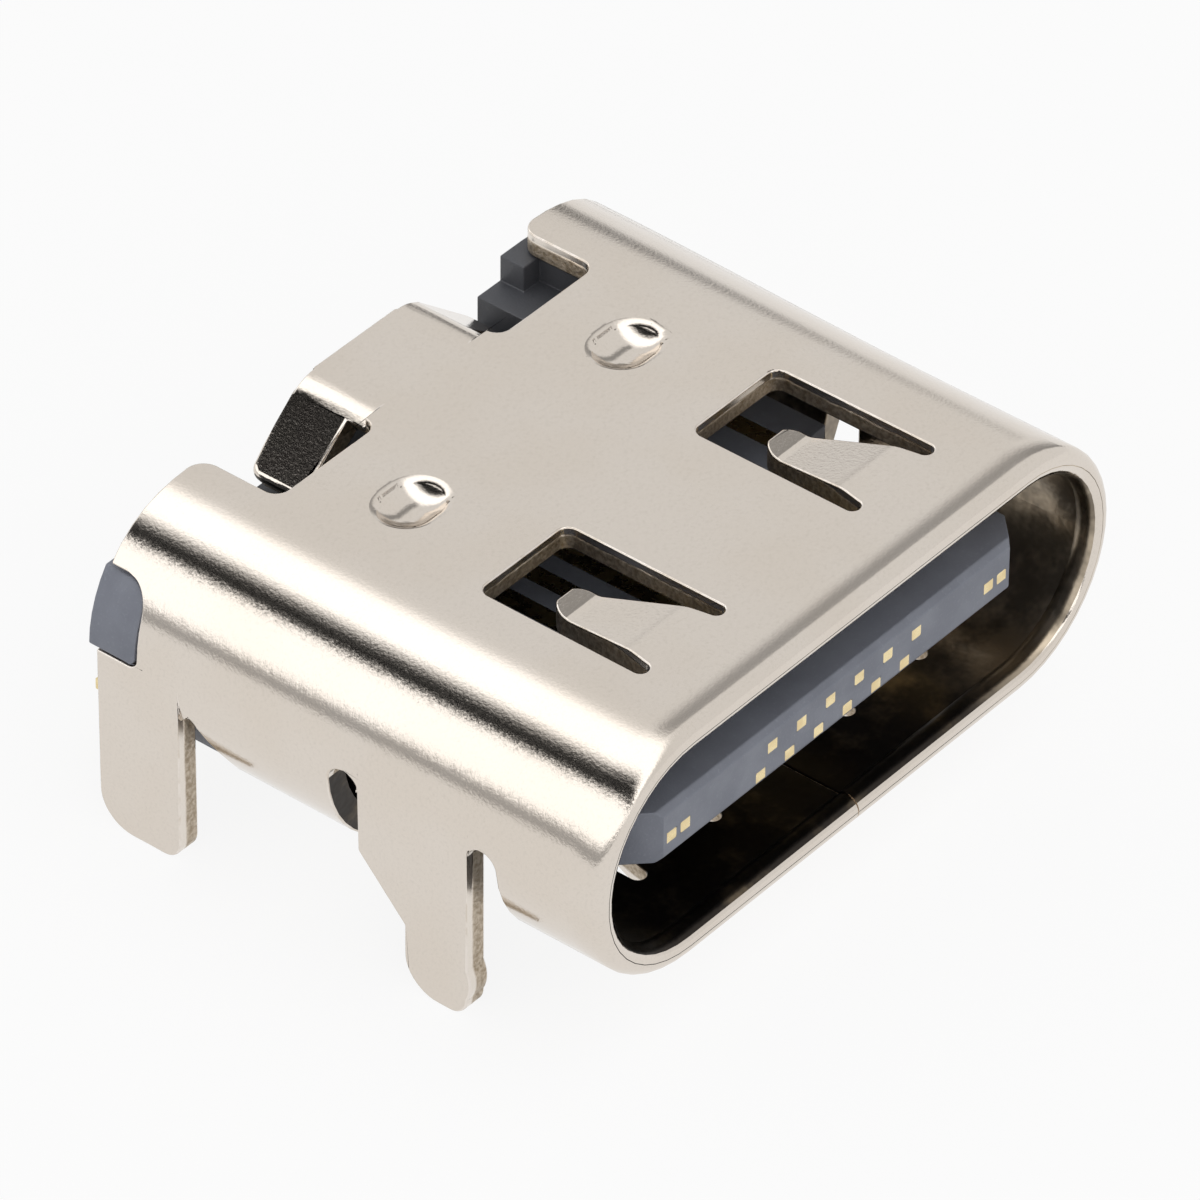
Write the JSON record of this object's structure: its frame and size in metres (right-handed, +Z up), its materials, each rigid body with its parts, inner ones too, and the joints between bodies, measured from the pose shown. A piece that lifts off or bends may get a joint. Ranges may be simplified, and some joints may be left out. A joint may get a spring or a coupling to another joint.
{
  "type": "usb-c socket",
  "caption": "Board-mount usb-c socket: folded metal shell with spring fingers and solder legs round a moulded tongue with gold contacts.",
  "frame": {"origin": "midway between the two locating pegs, on the board's top face", "axes": "+X across the mouth, -Y out of the mouth towards the plug, +Z up from the board"},
  "size_m": [0.009, 0.0079, 0.004],
  "materials": {
    "nickel_sheet": "satin nickel plate",
    "moulding": "moulded, slightly glossy",
    "carrier_plastic": "moulded",
    "plate_steel": "bare stamped steel",
    "gold_contact": "gold plate"
  },
  "bodies": {
    "root": {"shell": "nickel_sheet", "housing": "moulding", "upper_carrier": "carrier_plastic", "lower_carrier": "carrier_plastic", "mid_plate": "plate_steel", "contact_a1": "gold_contact", "contact_a4": "gold_contact", "contact_a5": "gold_contact", "contact_a6": "gold_contact", "contact_a7": "gold_contact", "contact_a8": "gold_contact", "contact_a9": "gold_contact", "contact_a12": "gold_contact", "contact_b1": "gold_contact", "contact_b4": "gold_contact", "contact_b5": "gold_contact", "contact_b6": "gold_contact", "contact_b7": "gold_contact", "contact_b8": "gold_contact", "contact_b9": "gold_contact", "contact_b12": "gold_contact"}
  },
  "joints": []
}
